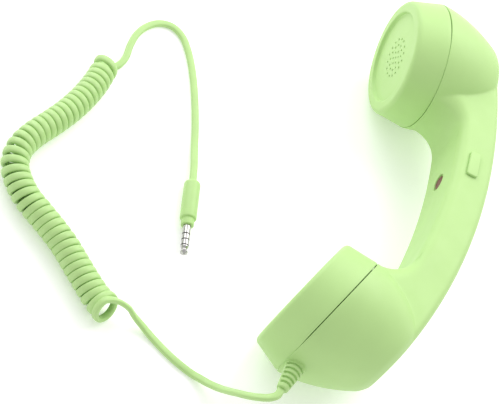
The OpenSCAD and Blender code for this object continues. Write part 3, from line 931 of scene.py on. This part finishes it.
cap("ear_grille_cap", "ear", [(0, 1), (3, 6), (6, 12), (9, 16)], "ear_cap")
cap("mouth_grille_cap", "mouth", [(0, 1), (3.2, 6), (6.4, 10)], "mouth_cap")


# The button and its seat: x along the handle, y across, z out of the inner face
def button_place(points):
    q = np.asarray(points, float)
    return to_row(on_arch(BUTTON_AT, ARCH_R, np.stack([q[..., 0], q[..., 2], q[..., 1]], -1)))


def turned(name, profile, segments, putter, slot, body, replaced=(), flip=False):
    """A piece turned from a profile and put in its place. Flip it when its faces look inwards."""
    points, faces, _ = lathe(profile, segments)
    if flip:
        faces = [f[::-1] for f in faces]
    piece = place(name, putter(points), faces, slot, body, replaced)
    crease(piece, SHARP_TURNED)
    return piece


BUTTON_R, BUTTON_SEGMENTS = 3.3, 56
BUTTON_STEM = [(0, -4.05), (1.5, -4.05), (1.5, -3), (BUTTON_R + 0.9, -3), (BUTTON_R + 0.9, -2.4),
    (BUTTON_R, -2.4), (BUTTON_R, -0.75)]
BUTTON_TOP = [(2.3, -0.3), (1.4, -0.34), (0.6, -0.36), (0, -0.37)]
turned("answer_button_cap",
    BUTTON_STEM + arc(BUTTON_R - 0.45, -0.75, 0.45, 0, 80, 6) + BUTTON_TOP,
    BUTTON_SEGMENTS, button_place, "button_red", "answer_button_body", ("answer_button",),
    flip=True)
turned("button_seat", [(RECESS_R + 0.3, -2.0), (RECESS_R + 0.3, -1.0), (RECESS_R, -0.95),
    (3.75, -0.95), (3.6, -1.0), (3.5, -1.15), (3.5, -2.0), (RECESS_R + 0.3, -2.0)],
    BUTTON_SEGMENTS, button_place, "soft_touch_shell", HANDSET)


# The slider: x along the handle, y towards the inner face, z across
KNOB_L, KNOB_W, KNOB_H = 13.0, 5.2, 1.05
KNOB_LOW = HALF_W + 0.15
STEM_L, STEM_W, STEM_FROM = 4.4, 2.0, 8.0


def rounded_block(half_x, half_y, z0, z1, r, edge, corners=6):
    """A block with rounded corners and an eased top edge: points and faces."""
    outline = []
    for k, (sx, sy) in enumerate(((1, 1), (-1, 1), (-1, -1), (1, -1))):
        outline += [(sx * (half_x - r), sy * (half_y - r), rad(90 * k + 90 * i / corners))
            for i in range(corners + 1)]
    levels = [(0, z0)] + [(edge * (1 - math.cos(rad(a))), z1 - edge * (1 - math.sin(rad(a))))
        for a in (0, 25, 50, 70, 90)]
    points = [(cx + (r - inset) * math.cos(a), cy + (r - inset) * math.sin(a), z)
        for inset, z in levels for cx, cy, a in outline]
    n = len(outline)
    faces = [[j * n + k, j * n + (k + 1) % n, (j + 1) * n + (k + 1) % n, (j + 1) * n + k]
        for j in range(len(levels) - 1) for k in range(n)]
    faces += [list(range(n))[::-1], [(len(levels) - 1) * n + k for k in range(n)]]
    return np.array(points), faces


def several(*parts):
    """Several (points, faces) as one."""
    points, faces, count = [], [], 0
    for p, f in parts:
        points.append(p)
        faces += [[count + i for i in one] for one in f]
        count += len(p)
    return np.vstack(points), faces


knob_points, knob_faces = several(
    rounded_block(KNOB_L / 2, KNOB_W / 2, KNOB_LOW, KNOB_LOW + KNOB_H, 1.1, 0.45),
    rounded_block(STEM_L / 2, STEM_W / 2, STEM_FROM, KNOB_LOW + 0.2, 0.4, 0.1))
slider = place("volume_slider_knob", to_row(on_arch(KNOB_AT, KNOB_R, knob_points)), knob_faces,
    "knob_green", "volume_slider_body", ("volume_slider",))
crease(slider, SHARP_TURNED)


# ---------------------------------------------------------------- strain relief and plug
RELIEF_AT, RELIEF_LEAN, RELIEF_L = (-28.0, 5.0), rad(8), 13.2
RELIEF_BASE, RELIEF_TIP, RELIEF_SLOTS, RELIEF_STEP = 4.0, 2.4, 5, 2.15
RELIEF_PLAIN, RELIEF_ROOT = 2.0, 4.5


def relief_form(p):
    """x across the handset, y beside the spine, z from the root to the tip."""
    r = np.hypot(p[..., 0], p[..., 1])
    along = np.clip((p[..., 2] - RELIEF_PLAIN) / (RELIEF_L - RELIEF_PLAIN), 0, 1)
    taper = RELIEF_BASE - (RELIEF_BASE - RELIEF_TIP) * along
    body = meet(r - taper, p[..., 2] - RELIEF_L, 0.5)
    body = np.maximum(body, -RELIEF_ROOT - p[..., 2])
    for i in range(RELIEF_SLOTS):
        z = RELIEF_L - 2.3 - RELIEF_STEP * i
        gap = np.maximum(np.abs(p[..., 2] - z) - 0.5, RELIEF_TIP - 0.5 + 0.3 * i - r)
        gap = np.maximum(gap, 0.95 - np.abs(p[..., 0]))
        body = np.maximum(body, -gap)
    return body


def relief_place(points):
    q = np.asarray(points, float)
    way = np.array([-math.cos(RELIEF_LEAN), math.sin(RELIEF_LEAN), 0])
    beside = np.cross(way, UP)
    return to_row(np.array([*RELIEF_AT, 0]) + q[..., 2:] * way + q[..., 1:2] * beside
        + q[..., :1] * UP)


relief_points, relief_quads = skin_of(relief_form, (-4.6, -4.6, -5), (4.6, 4.6, 14), 0.2, 1)
relief = place("strain_relief_sleeve", relief_place(relief_points), relief_quads, "cord_rubber",
    HANDSET, ("strain_relief",))
crease(relief, SHARP_RELIEF)

SHEATH_R, SHEATH_L, COLLAR_R, COLLAR_L = 3.6, 19.5, 2.8, 3.3


def plug_place(points):
    """x and y round the plug, z from the cord's end towards its tip."""
    q = np.asarray(points, float)
    beside = np.cross(UP, PLUG_WAY)
    return (PLUG_AT + q[..., 2:] * PLUG_WAY + q[..., :1] * beside
        + q[..., 1:2] * UP) * MM


shaft_z = SHEATH_L + COLLAR_L
sheath = turned("plug_boot", [(0, 0.05), (1.7, 0)] + arc(SHEATH_R - 1.9, 1.9, 1.9, -85, 0, 8)
    + [(SHEATH_R, 10)] + arc(SHEATH_R - 0.7, SHEATH_L - 0.7, 0.7, 0, 90, 5)
    + [(COLLAR_R, SHEATH_L)] + arc(COLLAR_R - 0.35, shaft_z - 0.35, 0.35, 0, 90, 4)
    + [(0, shaft_z)], 64, plug_place, "sheath_rubber", HANDSET, ("plug_sheath",))

# ---------------------------------------------------------------- floor
floor_mesh = bpy.data.meshes.new("floor")
floor_mesh.from_pydata([(-3, -3, 0), (3, -3, 0), (3, 3, 0), (-3, 3, 0)], [], [(0, 1, 2, 3)])
floor = bpy.data.objects.new("floor", floor_mesh)
scene.collection.objects.link(floor)
backdrop = Shader("backdrop", Emission_Color=(1, 1, 1, 1), Emission_Strength=0.22)
backdrop.colour(backdrop.noise(8, 3), (0.955, 0.955, 0.95), (0.975, 0.975, 0.97))
backdrop.bump(backdrop.noise(900, 3), 0.000008)
floor_mesh.materials.append(backdrop.material)
